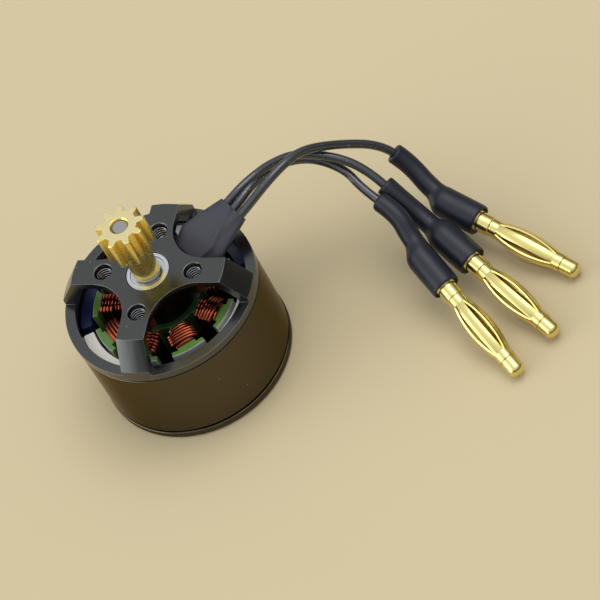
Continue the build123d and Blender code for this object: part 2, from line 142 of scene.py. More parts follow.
rest()
bpy.ops.object.camera_add()
camera = named("camera")
camera.matrix_world = (
    Matrix.Translation(camera_at)
    @ Matrix.Rotation(camera_turn, 4, "Z")
    @ Matrix.Rotation(math.pi / 2 - camera_height, 4, "X")
    @ Matrix.Rotation(camera_roll, 4, "Z")
)
camera.data.lens = 180
camera.data.sensor_width = 36
camera.data.clip_start = 0.02
camera.data.clip_end = 20
bpy.context.scene.camera = camera
print("camera looks along", [round(v, 4) for v in camera.matrix_world.col[2][:3]])

# %% [markdown]
# ## Floor and light
# A motor this small is best shown on a sheet of pale paper under a large soft lamp. The floor is a plain
# plane with the paper's colour. One wide lamp overhead gives the soft shadow. The world fills in the
# rest, as a room does: a pale ceiling, a bright window to the left, and darkness elsewhere. Dark metal
# shows its form by what it mirrors, and an even sky would make it flat.

# %% Floor
paper = (0.70, 0.57, 0.345)

rest()
bpy.ops.mesh.primitive_plane_add(size=3.0, location=(0, 0, 0))
floor = named("floor")
floor_finish = bpy.data.materials.new("paper_floor")
floor_finish.use_nodes = True
floor_shader = floor_finish.node_tree.nodes["Principled BSDF"]
floor_shader.inputs["Base Color"].default_value = (*paper, 1)
floor_shader.inputs["Roughness"].default_value = 0.85
floor_shader.inputs["Specular IOR Level"].default_value = 0.2
floor.data.materials.append(floor_finish)


# %% Lamps
def soft_lamp(name, place, target, size, watts):
    """A square area lamp that faces its target."""
    rest()
    bpy.ops.object.light_add(type="AREA", location=place)
    lamp = named(name)
    lamp.data.size = size
    lamp.data.energy = watts
    lamp.rotation_euler = (Vector(target) - Vector(place)).to_track_quat("-Z", "Y").to_euler()
    return lamp


middle = (0.015, 0.0, 0.012)
soft_lamp("key_lamp", (0.28, 0.36, 1.45), middle, 0.9, 5.6)

# %% World
world = bpy.data.worlds.new("studio")
world.use_nodes = True
bpy.context.scene.world = world
sky = world.node_tree.nodes
sky_links = world.node_tree.links
direction = sky.new("ShaderNodeTexCoord")


def bright_patch(way, grey_steps):
    """Grey of the sky by how nearly a direction points this way; places run from -1, away, to 1, at it."""
    towards = sky.new("ShaderNodeVectorMath")
    towards.operation = "DOT_PRODUCT"
    towards.inputs[1].default_value = Vector(way).normalized()
    level = sky.new("ShaderNodeMapRange")
    level.inputs["From Min"].default_value = -1.0
    ramp = sky.new("ShaderNodeValToRGB")
    while len(ramp.color_ramp.elements) < len(grey_steps):
        ramp.color_ramp.elements.new(0.5)
    for element, (place, grey) in zip(ramp.color_ramp.elements, grey_steps):
        element.position = (place + 1) / 2
        element.color = (0.95 * grey, grey, 1.06 * grey, 1)
    sky_links.new(direction.outputs["Generated"], towards.inputs[0])
    sky_links.new(towards.outputs["Value"], level.inputs["Value"])
    sky_links.new(level.outputs["Result"], ramp.inputs["Fac"])
    return ramp.outputs["Color"]


ceiling = bright_patch((0, 0, 1), [(0.0, 0.025), (0.30, 0.05), (0.75, 0.29), (1.0, 0.40)])
window = bright_patch((-0.88, -0.47, 0.10), [(0.66, 0.0), (0.78, 0.2), (0.92, 1.0)])
together = sky.new("ShaderNodeVectorMath")
together.operation = "ADD"
sky_links.new(ceiling, together.inputs[0])
sky_links.new(window, together.inputs[1])
sky_links.new(together.outputs[0], sky["Background"].inputs["Color"])
sky["Background"].inputs["Strength"].default_value = 2.6

bpy.context.scene.view_settings.view_transform = "Standard"
print("stage: floor, one lamp and a world")

# %% [markdown]
# ## Shared surface effects
# Two effects come back in many finishes, so each is a node group with named inputs. *Fine grain* is an
# even, tiny unevenness that breaks up a highlight. *Turning marks* are the hair-fine circles that a lathe
# leaves: they depend only on the distance from an axis and the height along it, so the same group draws
# rings on a flat face and lines round a wall. Both give a height for a Bump node and a value to vary the
# roughness with.

# %% Node group: fine grain
def new_group(name, inputs, outputs):
    """An empty shader node group; inputs are (name, type, default), outputs are (name, type)."""
    tree = bpy.data.node_groups.new(name, "ShaderNodeTree")
    for label, kind, default in inputs:
        socket = tree.interface.new_socket(label, in_out="INPUT", socket_type=kind)
        if default is not None:
            socket.default_value = default
    for label, kind in outputs:
        tree.interface.new_socket(label, in_out="OUTPUT", socket_type=kind)
    return tree, tree.nodes.new("NodeGroupInput"), tree.nodes.new("NodeGroupOutput")


def spread(tree, source, low, high):
    """A Map Range node that turns 0..1 into low..high, with low and high given as sockets."""
    node = tree.nodes.new("ShaderNodeMapRange")
    tree.links.new(source, node.inputs["Value"])
    tree.links.new(low, node.inputs["To Min"])
    tree.links.new(high, node.inputs["To Max"])
    return node.outputs["Result"]


grain, grain_in, grain_out = new_group(
    "fine_grain",
    [("Scale", "NodeSocketFloat", 4000.0), ("Rough Low", "NodeSocketFloat", 0.35),
     ("Rough High", "NodeSocketFloat", 0.45)],
    [("Height", "NodeSocketFloat"), ("Roughness", "NodeSocketFloat")])
grain_place = grain.nodes.new("ShaderNodeTexCoord")
specks = grain.nodes.new("ShaderNodeTexNoise")
specks.inputs["Detail"].default_value = 3.0
grain.links.new(grain_place.outputs["Object"], specks.inputs["Vector"])
grain.links.new(grain_in.outputs["Scale"], specks.inputs["Scale"])
grain.links.new(specks.outputs["Fac"], grain_out.inputs["Height"])
grain.links.new(spread(grain, specks.outputs["Fac"], grain_in.outputs["Rough Low"],
                       grain_in.outputs["Rough High"]), grain_out.inputs["Roughness"])
print("group", grain.name)

# %% Node group: turning marks
turning, turning_in, turning_out = new_group(
    "turning_marks",
    [("Vector", "NodeSocketVector", None), ("Marks per Metre", "NodeSocketFloat", 6000.0),
     ("Rough Low", "NodeSocketFloat", 0.25), ("Rough High", "NodeSocketFloat", 0.4)],
    [("Height", "NodeSocketFloat"), ("Roughness", "NodeSocketFloat")])
split = turning.nodes.new("ShaderNodeSeparateXYZ")
flat = turning.nodes.new("ShaderNodeCombineXYZ")
radius = turning.nodes.new("ShaderNodeVectorMath")
radius.operation = "LENGTH"
lathe = turning.nodes.new("ShaderNodeCombineXYZ")
rings = turning.nodes.new("ShaderNodeTexNoise")
rings.inputs["Detail"].default_value = 2.0
turning.links.new(turning_in.outputs["Vector"], split.inputs[0])
turning.links.new(split.outputs["X"], flat.inputs["X"])
turning.links.new(split.outputs["Y"], flat.inputs["Y"])
turning.links.new(flat.outputs[0], radius.inputs[0])
turning.links.new(radius.outputs["Value"], lathe.inputs["X"])
turning.links.new(split.outputs["Z"], lathe.inputs["Z"])
turning.links.new(lathe.outputs[0], rings.inputs["Vector"])
turning.links.new(turning_in.outputs["Marks per Metre"], rings.inputs["Scale"])
turning.links.new(rings.outputs["Fac"], turning_out.inputs["Height"])
turning.links.new(spread(turning, rings.outputs["Fac"], turning_in.outputs["Rough Low"],
                         turning_in.outputs["Rough High"]), turning_out.inputs["Roughness"])
print("group", turning.name)

# %% [markdown]
# ## Masks
# Two more groups put out masks. *Shaft distance* goes from 0 to 1 between two radii about the shaft, which
# tells the bare outer faces of the stator from its coating. *Dust* picks a few small cells of a Voronoi
# pattern: black parts that have been handled always carry a few pale specks.

# %% Node groups: shaft distance and dust
distance, distance_in, distance_out = new_group(
    "shaft_distance", [("From", "NodeSocketFloat", 0.0), ("To", "NodeSocketFloat", 0.01)],
    [("Mask", "NodeSocketFloat")])
shaft_place = distance.nodes.new("ShaderNodeTexCoord")
across = distance.nodes.new("ShaderNodeVectorMath")
across.operation = "MULTIPLY"
across.inputs[1].default_value = (1, 1, 0)
reach = distance.nodes.new("ShaderNodeVectorMath")
reach.operation = "LENGTH"
rise = distance.nodes.new("ShaderNodeMapRange")
distance.links.new(shaft_place.outputs["Object"], across.inputs[0])
distance.links.new(across.outputs[0], reach.inputs[0])
distance.links.new(reach.outputs["Value"], rise.inputs["Value"])
distance.links.new(distance_in.outputs["From"], rise.inputs["From Min"])
distance.links.new(distance_in.outputs["To"], rise.inputs["From Max"])
distance.links.new(rise.outputs["Result"], distance_out.inputs["Mask"])

dust, dust_in, dust_out = new_group(
    "dust", [("Cells per Metre", "NodeSocketFloat", 900.0), ("Size", "NodeSocketFloat", 0.1),
             ("Share", "NodeSocketFloat", 0.06)], [("Mask", "NodeSocketFloat")])
dust_place = dust.nodes.new("ShaderNodeTexCoord")
cells = dust.nodes.new("ShaderNodeTexVoronoi")
small = dust.nodes.new("ShaderNodeMath")
small.operation = "LESS_THAN"
few = dust.nodes.new("ShaderNodeMath")
few.operation = "LESS_THAN"
pick = dust.nodes.new("ShaderNodeSeparateXYZ")
both = dust.nodes.new("ShaderNodeMath")
both.operation = "MULTIPLY"
dust.links.new(dust_place.outputs["Object"], cells.inputs["Vector"])
dust.links.new(dust_in.outputs["Cells per Metre"], cells.inputs["Scale"])
dust.links.new(cells.outputs["Distance"], small.inputs[0])
dust.links.new(dust_in.outputs["Size"], small.inputs[1])
dust.links.new(cells.outputs["Color"], pick.inputs[0])
dust.links.new(pick.outputs["X"], few.inputs[0])
dust.links.new(dust_in.outputs["Share"], few.inputs[1])
dust.links.new(small.outputs[0], both.inputs[0])
dust.links.new(few.outputs[0], both.inputs[1])
dust.links.new(both.outputs[0], dust_out.inputs["Mask"])
print("groups", distance.name, dust.name)


# %% [markdown]
# ## Finishes
# Each finish is one short function over the same starting point: a Principled shader whose constants sit
# on its own sockets. Black parts differ in kind: anodised aluminium is satin and grey where light falls
# on it, the plated can is a dark mirror, silicone and heat-shrink are plastics with a soft sheen.

# %% A base for finishes
def finish(name, color, metallic=0.0, roughness=0.5, **constants):
    """A new material: (material, nodes, links, shader)."""
    material = bpy.data.materials.new(name)
    material.use_nodes = True
    nodes, links = material.node_tree.nodes, material.node_tree.links
    shader = nodes["Principled BSDF"]
    shader.inputs["Base Color"].default_value = (*color, 1)
    shader.inputs["Metallic"].default_value = metallic
    shader.inputs["Roughness"].default_value = roughness
    for socket, value in constants.items():
        shader.inputs[socket.replace("_", " ")].default_value = value
    return material, nodes, links, shader


def add_bump(nodes, links, shader, height_socket, depth):
    """Feed a height through a Bump node into the shader's normal; depth is in metres."""
    bump = nodes.new("ShaderNodeBump")
    bump.inputs["Strength"].default_value = 1.0
    bump.inputs["Distance"].default_value = depth
    links.new(height_socket, bump.inputs["Height"])
    links.new(bump.outputs["Normal"], shader.inputs["Normal"])


def add_grain(nodes, links, shader, scale, low, high, depth):
    """Fine grain on a finish: roughness from low to high, and a bump of this depth."""
    group = nodes.new("ShaderNodeGroup")
    group.node_tree = grain
    group.inputs["Scale"].default_value = scale
    group.inputs["Rough Low"].default_value = low
    group.inputs["Rough High"].default_value = high
    links.new(group.outputs["Roughness"], shader.inputs["Roughness"])
    add_bump(nodes, links, shader, group.outputs["Height"], depth)


def add_turning(nodes, links, shader, marks, low, high, depth):
    """Turning marks about the shaft: roughness from low to high, and a bump of this depth."""
    where = nodes.new("ShaderNodeTexCoord")
    group = nodes.new("ShaderNodeGroup")
    group.node_tree = turning
    group.inputs["Marks per Metre"].default_value = marks
    group.inputs["Rough Low"].default_value = low
    group.inputs["Rough High"].default_value = high
    links.new(where.outputs["Object"], group.inputs["Vector"])
    links.new(group.outputs["Roughness"], shader.inputs["Roughness"])
    add_bump(nodes, links, shader, group.outputs["Height"], depth)


def mix_color(nodes, links, shader, mask_socket, low, high):
    """Base Color that goes from low to high with a mask."""
    mix = nodes.new("ShaderNodeMix")
    mix.data_type = "RGBA"
    mix.inputs["A"].default_value = (*low, 1)
    mix.inputs["B"].default_value = (*high, 1)
    links.new(mask_socket, mix.inputs["Factor"])
    links.new(mix.outputs["Result"], shader.inputs["Base Color"])
    return mix


def add_dust(nodes, links, shader, color, cells, size, share, speck=(0.42, 0.40, 0.37)):
    """A few pale specks on this colour."""
    group = nodes.new("ShaderNodeGroup")
    group.node_tree = dust
    group.inputs["Cells per Metre"].default_value = cells
    group.inputs["Size"].default_value = size
    group.inputs["Share"].default_value = share
    mix_color(nodes, links, shader, group.outputs["Mask"], color, speck)


def shaft_mask(nodes, inner, outer):
    """A mask that rises from 0 to 1 between two distances from the shaft."""
    group = nodes.new("ShaderNodeGroup")
    group.node_tree = distance
    group.inputs["From"].default_value = inner
    group.inputs["To"].default_value = outer
    return group.outputs["Mask"]


# %% Black metals
def anodised(name, color, low=0.24, high=0.32, specks=0.0):
    """A black metal with turning marks, and with a share of dust specks."""
    material, nodes, links, shader = finish(name, color, metallic=1.0)
    add_turning(nodes, links, shader, 5000, low, high, 0.0008 * MM)
    if specks:
        add_dust(nodes, links, shader, color, 1100, 0.09, specks)
    return material


mount_black = anodised("anodised_black", (0.103, 0.103, 0.097), 0.2, 0.28, specks=0.03)
# A paler copy of the anodised black for bevel faces: a painted highlight along the edges.
edge_painted_highlight = anodised("anodised_edge_painted_highlight", (0.18, 0.185, 0.19))
# A much darker, rougher finish for the inside of the bearing tube: painted shade.
tube_painted_shade = anodised("tube_painted_shade", (0.018, 0.019, 0.019), 0.36, 0.46)
# Near-black thread flanks and pale thread crests: painted shade and a painted highlight.
thread_painted_shade = anodised("thread_painted_shade", (0.012, 0.012, 0.012), 0.4, 0.5)
thread_painted_highlight = anodised("thread_painted_highlight", (0.42, 0.43, 0.45))

can_color = (0.098, 0.079, 0.052)
can_black, can_nodes, can_links, can_shader = finish(
    "plated_black", can_color, metallic=1.0, Specular_Tint=(0.62, 0.56, 0.46, 1))
add_turning(can_nodes, can_links, can_shader, 9000, 0.16, 0.26, 0.0006 * MM)
add_dust(can_nodes, can_links, can_shader, can_color, 1000, 0.1, 0.05)
print("black metals:", mount_black.name, edge_painted_highlight.name, can_black.name)


# %% [markdown]
# ## Bright metals
# Bearings, shaft, pinion and plugs are bare metal. Colour and roughness tell them apart: ground steel is
# nearly white, cut brass keeps fine marks, and gold plating is smooth. A bearing's face isn't one plane.
# The dark grooves between its races and its shield could be modelled, but they are a tenth of a millimetre
# wide, so a colour ramp over the distance from the shaft draws them as painted shade.

# %% Bright metals
def turned_metal(name, color, low, high, marks=7000):
    """A bright metal with turning marks."""
    material, nodes, links, shader = finish(name, color, metallic=1.0)
    add_turning(nodes, links, shader, marks, low, high, 0.001 * MM)
    return material


bearing_steel = turned_metal("bearing_steel", (0.72, 0.72, 0.74), 0.2, 0.34)
shield_steel = turned_metal("shield_steel", (0.50, 0.50, 0.52), 0.25, 0.4)
shaft_steel = turned_metal("shaft_steel", (0.42, 0.41, 0.40), 0.24, 0.4)
dark_steel = turned_metal("dark_steel", (0.06, 0.06, 0.065), 0.3, 0.45)
pinion_brass = turned_metal("pinion_brass", (0.94, 0.72, 0.19), 0.2, 0.32, marks=9000)
cage_brass = turned_metal("cage_brass", (0.66, 0.48, 0.22), 0.3, 0.4)

race_steel = turned_metal("race_steel", (0.72, 0.72, 0.74), 0.2, 0.34)
race_nodes, race_links = race_steel.node_tree.nodes, race_steel.node_tree.links
groove = race_nodes.new("ShaderNodeValToRGB")
groove_from, groove_to = 1.5, 3.5
race_links.new(shaft_mask(race_nodes, groove_from * MM, groove_to * MM), groove.inputs["Fac"])
# Grey by the distance from the shaft in millimetres; the dark steps are painted shade in the gaps between
# races and shield.
groove_steps = [(1.5, 0.72), (2.06, 0.72), (2.10, 0.10), (2.15, 0.72), (2.52, 0.62), (2.56, 0.08),
                (2.62, 0.80), (2.86, 0.80), (2.90, 0.14), (2.95, 0.85)]
while len(groove.color_ramp.elements) < len(groove_steps):
    groove.color_ramp.elements.new(0.5)
for element, (radius_mm, grey) in zip(groove.color_ramp.elements, groove_steps):
    element.position = (radius_mm - groove_from) / (groove_to - groove_from)
    element.color = (grey, grey, 1.02 * grey, 1)
race_links.new(groove.outputs["Color"], race_steel.node_tree.nodes["Principled BSDF"].inputs["Base Color"])

# Paler, rougher brass for the pinion's top faces: a painted highlight.
brass_painted_highlight = turned_metal("brass_painted_highlight", (0.90, 0.76, 0.40), 0.36, 0.5, marks=9000)

plug_gold, gold_nodes, gold_links, gold_shader = finish("plug_gold", (0.84, 0.70, 0.26), metallic=1.0)
add_grain(gold_nodes, gold_links, gold_shader, 2500, 0.17, 0.28, 0.002 * MM)
print("bright metals:", bearing_steel.name, pinion_brass.name, plug_gold.name)

# %% [markdown]
# ## Inside the motor
# Magnet wire is copper under a clear red enamel: a metal with a coat. The stator is dipped in a green
# insulating powder and its outer faces are ground bare afterwards, so the distance from the shaft says which
# is which. The bare faces are a pale, dull grey: bare steel, lightened as a painted highlight. Towards the
# yoke the green is darkened as painted shade under the windings. The magnets alternate between a pale
# plating and a dark blue one.

# %% Windings, stator and magnets
wire_red, wire_nodes, wire_links, wire_shader = finish(
    "enamelled_copper", (0.32, 0.056, 0.014), metallic=1.0, Coat_Weight=0.55, Coat_Roughness=0.08)
add_grain(wire_nodes, wire_links, wire_shader, 3000, 0.12, 0.2, 0.002 * MM)

coating_green, coating_painted_shade, bare_grey_and_highlight = (0.115, 0.24, 0.042), (0.012, 0.03, 0.008), (0.66, 0.68, 0.66)
yoke_fade, bare_from = (5.2 * MM, 6.4 * MM), (10.40 * MM, 10.47 * MM)
stator_coat, stator_nodes, stator_links, stator_shader = finish("stator_coating", coating_green)
add_grain(stator_nodes, stator_links, stator_shader, 2200, 0.28, 0.42, 0.012 * MM)
# Towards the yoke the green darkens: painted shade under the windings.
yoke_painted_shade = mix_color(stator_nodes, stator_links, stator_shader,
                       shaft_mask(stator_nodes, *yoke_fade), coating_painted_shade, coating_green)
# The outer faces are bare steel drawn as a pale dull grey: partly a painted highlight.
bare_mask = shaft_mask(stator_nodes, *bare_from)
bare_steel = mix_color(stator_nodes, stator_links, stator_shader, bare_mask, coating_green, bare_grey_and_highlight)
stator_links.new(yoke_painted_shade.outputs["Result"], bare_steel.inputs["A"])

magnet_nickel, magnet_nodes, magnet_links, magnet_shader = finish(
    "magnet_nickel", (0.86, 0.82, 0.72), metallic=0.1)
add_grain(magnet_nodes, magnet_links, magnet_shader, 1800, 0.35, 0.5, 0.004 * MM)

magnet_blue, blue_nodes, blue_links, blue_shader = finish("magnet_blue", (0.012, 0.016, 0.07))
add_grain(blue_nodes, blue_links, blue_shader, 1800, 0.25, 0.4, 0.004 * MM)
print("inside:", wire_red.name, stator_coat.name, magnet_nickel.name, magnet_blue.name)

# %% [markdown]
# ## Plastics
# Three black plastics lie side by side, and differ only a little: the silicone of the leads is glossy and
# picks up dust, the heat-shrink on the plugs is satin and bluish, and the sleeve is the palest.

# %% Plastics
rubber_color = (0.030, 0.031, 0.037)
lead_rubber, lead_nodes, lead_links, lead_shader = finish(
    "silicone_black", rubber_color, Coat_Weight=1.0, Coat_Roughness=0.14)
add_grain(lead_nodes, lead_links, lead_shader, 1500, 0.2, 0.32, 0.005 * MM)
add_dust(lead_nodes, lead_links, lead_shader, rubber_color, 2600, 0.25, 0.15,
         speck=(0.20, 0.20, 0.22))

shrink_black, shrink_nodes, shrink_links, shrink_shader = finish("shrink_black", (0.010, 0.011, 0.021))
add_grain(shrink_nodes, shrink_links, shrink_shader, 900, 0.36, 0.5, 0.012 * MM)

sleeve_grey, sleeve_nodes, sleeve_links, sleeve_shader = finish("sleeve_black", (0.046, 0.042, 0.058))
add_grain(sleeve_nodes, sleeve_links, sleeve_shader, 1100, 0.4, 0.54, 0.012 * MM)
print("plastics:", lead_rubber.name, shrink_black.name, sleeve_grey.name)

# %% [markdown]
# ## The three leads
# Each lead is 1.3 mm silicone wire, far too limp to hold a shape of its own. It leaves the flat sleeve
# beside its neighbours, rises, turns over and comes down to its plug. A NURBS curve along a handful of
# given control points bends as evenly as the wire does, and a round bevel gives it its thickness.

# %% Leads
lead_routes = {
    "lead_1": [(9.39, 7.99, 18.93), (11.45, 10.5, 19.6), (14.53, 14.2, 21.1), (16.42, 17.05, 21.27),
               (18.28, 20.44, 20.16), (21.91, 23.86, 16.58), (26.1, 26.28, 12.99),
               (29.26, 25.76, 9.63), (32.5, 22.09, 6.29), (34.2, 21.3, 5.9)],
    "lead_2": [(7.31, 9.86, 19.43), (9.45, 12.3, 20.4), (11.56, 15.1, 20.67), (13.7, 18.6, 19.62),
               (16.51, 21.48, 17.97), (21.68, 22.04, 15.97), (25.43, 21.45, 13.59),
               (29.61, 18.99, 10.07), (32.67, 17.32, 7.21), (35.3, 15.3, 6.45)],
    "lead_3": [(8.35, 8.93, 19.18), (10.45, 11.4, 20.0), (12.08, 14.85, 20.23), (13.24, 18.29, 18.07),
               (13.91, 21.09, 16.46), (17.67, 22.65, 15.22), (22.15, 21.72, 13.43),
               (24.72, 19.13, 12.57), (30.2, 15.6, 11.0), (31.71, 12.49, 8.28), (33.2, 11.0, 7.65)],
}
lead_r = 0.65 * MM


def nurbs_lead(name, points):
    """A round wire along a smooth curve with these control points, given in millimetres."""
    curve = bpy.data.curves.new(name, "CURVE")
    curve.dimensions = "3D"
    spline = curve.splines.new("NURBS")
    spline.points.add(len(points) - 1)
    for control, point in zip(spline.points, points):
        control.co = (*(Vector(point) * MM), 1)
    spline.order_u = 3
    spline.use_endpoint_u = True
    curve.resolution_u = 10
    obj = bpy.data.objects.new(name, curve)
    bpy.context.collection.objects.link(obj)
    return obj


def centre_line(obj):
    """The points that a curve with no bevel follows."""
    mesh = bpy.data.meshes.new_from_object(obj)
    points = [vertex.co.copy() for vertex in mesh.vertices]
    bpy.data.meshes.remove(mesh)
    return points


leads, lead_lines, lead_lengths = {}, {}, {}
for number, (name, points) in enumerate(lead_routes.items(), start=1):
    lead = nurbs_lead(f"phase_lead_{number}", points)
    line = centre_line(lead)
    lead.data.bevel_depth = lead_r
    lead.data.bevel_resolution = 4
    lead.data.use_fill_caps = True
    lead.data.materials.append(lead_rubber)
    leads[name], lead_lines[name] = lead, line
    lead_lengths[name] = sum((b - a).length for a, b in zip(line, line[1:]))
    print(f"{name}: {lead_lengths[name] / MM:.1f} mm in {len(line)} points")

# %% [markdown]
# ## Heat-shrink over the plugs
# A short piece of heat-shrink grips the lead at one end and the solder cup of the plug at the other.
# Shrunk by hand with hot air, it has a crisp cut at both ends, a soft shoulder in between and no straight
# line anywhere. It is made as a row of rings that are extruded one from the other along the lead's own
# line and then along the plug.

# %% Rings along a line
def frames_along(points, level=Vector((0, 0, 1))):
    """Centre, side and up direction at each point of a line, turned as little as possible."""
    result = []
    side = None
    for k, point in enumerate(points):
        ahead = (points[min(k + 1, len(points) - 1)] - points[max(k - 1, 0)]).normalized()
        side = ahead.cross(level) if side is None else side - ahead * side.dot(ahead)
        side.normalize()
        result.append((point, side, side.cross(ahead).normalized()))
    return result


def extruded_rings(name, rings):
    """Start from a filled circle and extrude it from ring to ring; each ring is a list of points."""
    rest()
    bpy.ops.mesh.primitive_circle_add(vertices=len(rings[0]), radius=MM, fill_type="NGON")
    obj = named(name)
    bpy.ops.object.mode_set(mode="EDIT")
    bpy.ops.mesh.select_all(action="SELECT")
    for number, ring in enumerate(rings):
        if number:
            bpy.ops.mesh.extrude_region_move()
        mesh = bmesh.from_edit_mesh(obj.data)
        face = next(f for f in mesh.faces if f.select)
        for vertex, point in zip(face.verts, ring):
            vertex.co = point
        bmesh.update_edit_mesh(obj.data)
    bpy.ops.mesh.select_all(action="SELECT")
    bpy.ops.mesh.normals_make_consistent(inside=False)
    bpy.ops.object.mode_set(mode="OBJECT")
    return obj


# %% Heat-shrinks
cup_r = 1.8 * MM
cup_len = 6.4 * MM
neck_r = 1.45 * MM
shrink_walls = (0.42 * MM, 0.42 * MM, 0.3 * MM)
# The lead lies against one side of its neck, so the neck stands off it by this much at the shoulder.
neck_lean = (0.6 * MM, 0.0, 0.6 * MM)
lean_way = Vector((0.635, 0.747, 0.198))
fit_gap, mouth_gap, cup_bite = 0.03 * MM, 0.12 * MM, 0.05 * MM
shoulder_ahead, shoulder_len = 2.0 * MM, 2.4 * MM
cup_steps, ring_points = 10, 32


def ease(x):
    """Smooth step from 0 to 1."""
    x = min(1.0, max(0.0, x))
    return x * x * (3 - 2 * x)


def shrink_line(name):
    """Points from the mouth of the heat-shrink along the lead, and on along the plug."""
    route = [Vector(p) * MM for p in lead_routes[name]]
    mouth = (route[-4] + route[-3]) / 2
    line = lead_lines[name]
    start = min(range(len(line)), key=lambda k: (line[k] - mouth).length)
    along_lead = line[start:]
    forward = (route[-1] - route[-2]).normalized()
    return along_lead + [along_lead[-1] + forward * cup_len * k / cup_steps for k in range(1, cup_steps + 1)]


def heat_shrink(number, name):
    """A soft tube from the lead to the end of the solder cup, with its wall turned in at both ends."""
    line = shrink_line(name)
    back_at = sum((b - a).length for a, b in zip(line, line[1:])) - cup_len
    wide_r = cup_r + shrink_walls[number - 1] + fit_gap
    places = frames_along(line)
    rings, travelled = [], 0.0

    def ring(place, r, lump=0.0, lean=0.0):
        centre, side, up = place
        centre = centre + lean_way * lean
        points = []
        for k in range(ring_points):
            angle = 2 * math.pi * k / ring_points
            wave = 1 + lump * (math.sin(2 * angle + 1.3 * number) + 0.5 * math.sin(3 * angle + 2.1 * number))
            points.append(centre + (side * math.cos(angle) + up * math.sin(angle)) * r * wave)
        return points

    for k, place in enumerate(places):
        if k:
            travelled += (line[k] - line[k - 1]).length
        swell = ease((travelled - back_at + shoulder_ahead) / shoulder_len)
        waist = 0.015 * MM * math.sin(travelled / MM * 0.9 + number)
        r = neck_r + (wide_r - neck_r) * swell + waist
        lean = neck_lean[number - 1] * ease(travelled / (back_at - 1.0 * MM)) * (1 - swell)
        rings.append(ring(place, r, 0.012 + 0.014 * math.sin(math.pi * swell), lean))
    inner_start, inner_end = places[1], places[-3]
    rings.insert(0, ring(places[0], lead_r + mouth_gap))
    rings.insert(0, ring(inner_start, lead_r + mouth_gap))
    rings.append(ring(places[-1], cup_r - cup_bite))
    rings.append(ring(inner_end, cup_r - cup_bite))
    obj = extruded_rings(f"plug_shrink_{number}", rings)
    modify(obj, "SUBSURF", levels=1, render_levels=1)
    obj.data.materials.append(shrink_black)
    return smooth(obj, 50)


for number, name in enumerate(lead_routes, start=1):
    put(heat_shrink(number, name), "stator", "shrink_black", f"heat_shrink_{number}")

# %% [markdown]
# ## The sleeve over the leads
# Where the leads leave the motor, one wide piece of heat-shrink holds them side by side. It is squashed
# flat under the face plate, is widest where it comes out of the window, and narrows to its mouth, where
# the three wires show through it as low ridges. It is a second row of extruded rings: each is a flattened
# oval, and the last ones turn in over the cut edge, so that the mouth is open round the wires.

# %% Sleeve
corners = [Vector(route[1]) * MM for route in lead_routes.values()]
starts = [Vector(route[0]) * MM for route in lead_routes.values()]
mouth_way = (sum(corners, Vector()) - sum(starts, Vector())).normalized()
row_way = (corners[0] - corners[1]).normalized()
mouth_at = sum(corners, Vector()) / 3 - mouth_way * 0.75 * MM
mouth_w, mouth_t = 4.6 * MM, 1.75 * MM
# Centre, direction, width and thickness at the root, at the widest place and at the mouth.
sleeve_stations = [
    (Vector((4.0, 4.5, 17.7)) * MM, Vector((0.6, 0.79, 0.1)), 5.8 * MM, 1.8 * MM),
    (Vector((5.85, 6.58, 18.45)) * MM, Vector((0.59, 0.77, 0.25)), 7.6 * MM, 2.2 * MM),
    (mouth_at, mouth_way, mouth_w, mouth_t),
]
sleeve_wall = 0.22 * MM
wire_pitch = 1.42 * MM
oval_power = 0.62
fold_w, fold_h, fold_at_root = 0.045, 0.18 * MM, 0.28
mouth_ripple = 0.09


def sleeve_ring(centre, way, width, thickness, ripple, ridge=0.0, fold=0.0, drop=0.0, count=96):
    """A flattened oval, with a ripple over each wire and a fold along one side."""
    side = (row_way - way * row_way.dot(way)).normalized()
    up = side.cross(way).normalized()
    if up.z < 0:
        up = -up
    points = []
    for k in range(count):
        angle = 2 * math.pi * k / count
        c, d = math.cos(angle), math.sin(angle)
        x = width / 2 * math.copysign(abs(c) ** oval_power, c)
        y = thickness / 2 * math.copysign(abs(d) ** oval_power, d)
        y *= 1 + ripple * math.cos(2 * math.pi * x / wire_pitch)
        y += ridge * max(0.0, d) * math.exp(-((x / width - fold) / fold_w) ** 2)
        y -= drop * thickness * max(0.0, d) * max(0.0, x / width - fold)
        points.append(centre + side * x + up * y)
    return points


def between(a, b, x):
    return a + (b - a) * x


sleeve_rings = []
for first, second, steps in ((0, 1, 4), (1, 2, 10)):
    low, high = sleeve_stations[first], sleeve_stations[second]
    for step in range(steps + (second == 2)):
        x = step / steps
        centre, way, width, thickness = (between(a, b, x) for a, b in zip(low, high))
        ripple = mouth_ripple * x * x if second == 2 else 0.0
        nearing = x if second == 2 else 0.0
        fold, drop = fold_at_root * (1.0 - nearing), 1.0 - nearing
        sleeve_rings.append(sleeve_ring(centre, way.normalized(), width, thickness, ripple, fold_h,
                                        fold, drop))
for depth in (0.0, 0.3, 1.4):
    sleeve_rings.append(sleeve_ring(mouth_at - mouth_way * depth * MM, mouth_way,
                                    mouth_w - 2 * sleeve_wall, mouth_t - 2 * sleeve_wall, mouth_ripple))
sleeve = extruded_rings("flat_sleeve", sleeve_rings)
sleeve.data.materials.append(sleeve_grey)
smooth(sleeve, 50)
put(sleeve, "stator", "sleeve_black", "lead_sleeve")
print("sleeve:", len(sleeve.data.polygons), "faces")

# %% [markdown]
# ## Machined edges
# No machined edge is perfectly sharp: a hair of a bevel catches the light and draws the outline of the
# arms. The loaded solid is copied, its triangles merged into clean faces, and a narrow bevel is cut along
# every crease. The bevel's own faces take a second, paler finish: a painted highlight along every edge.

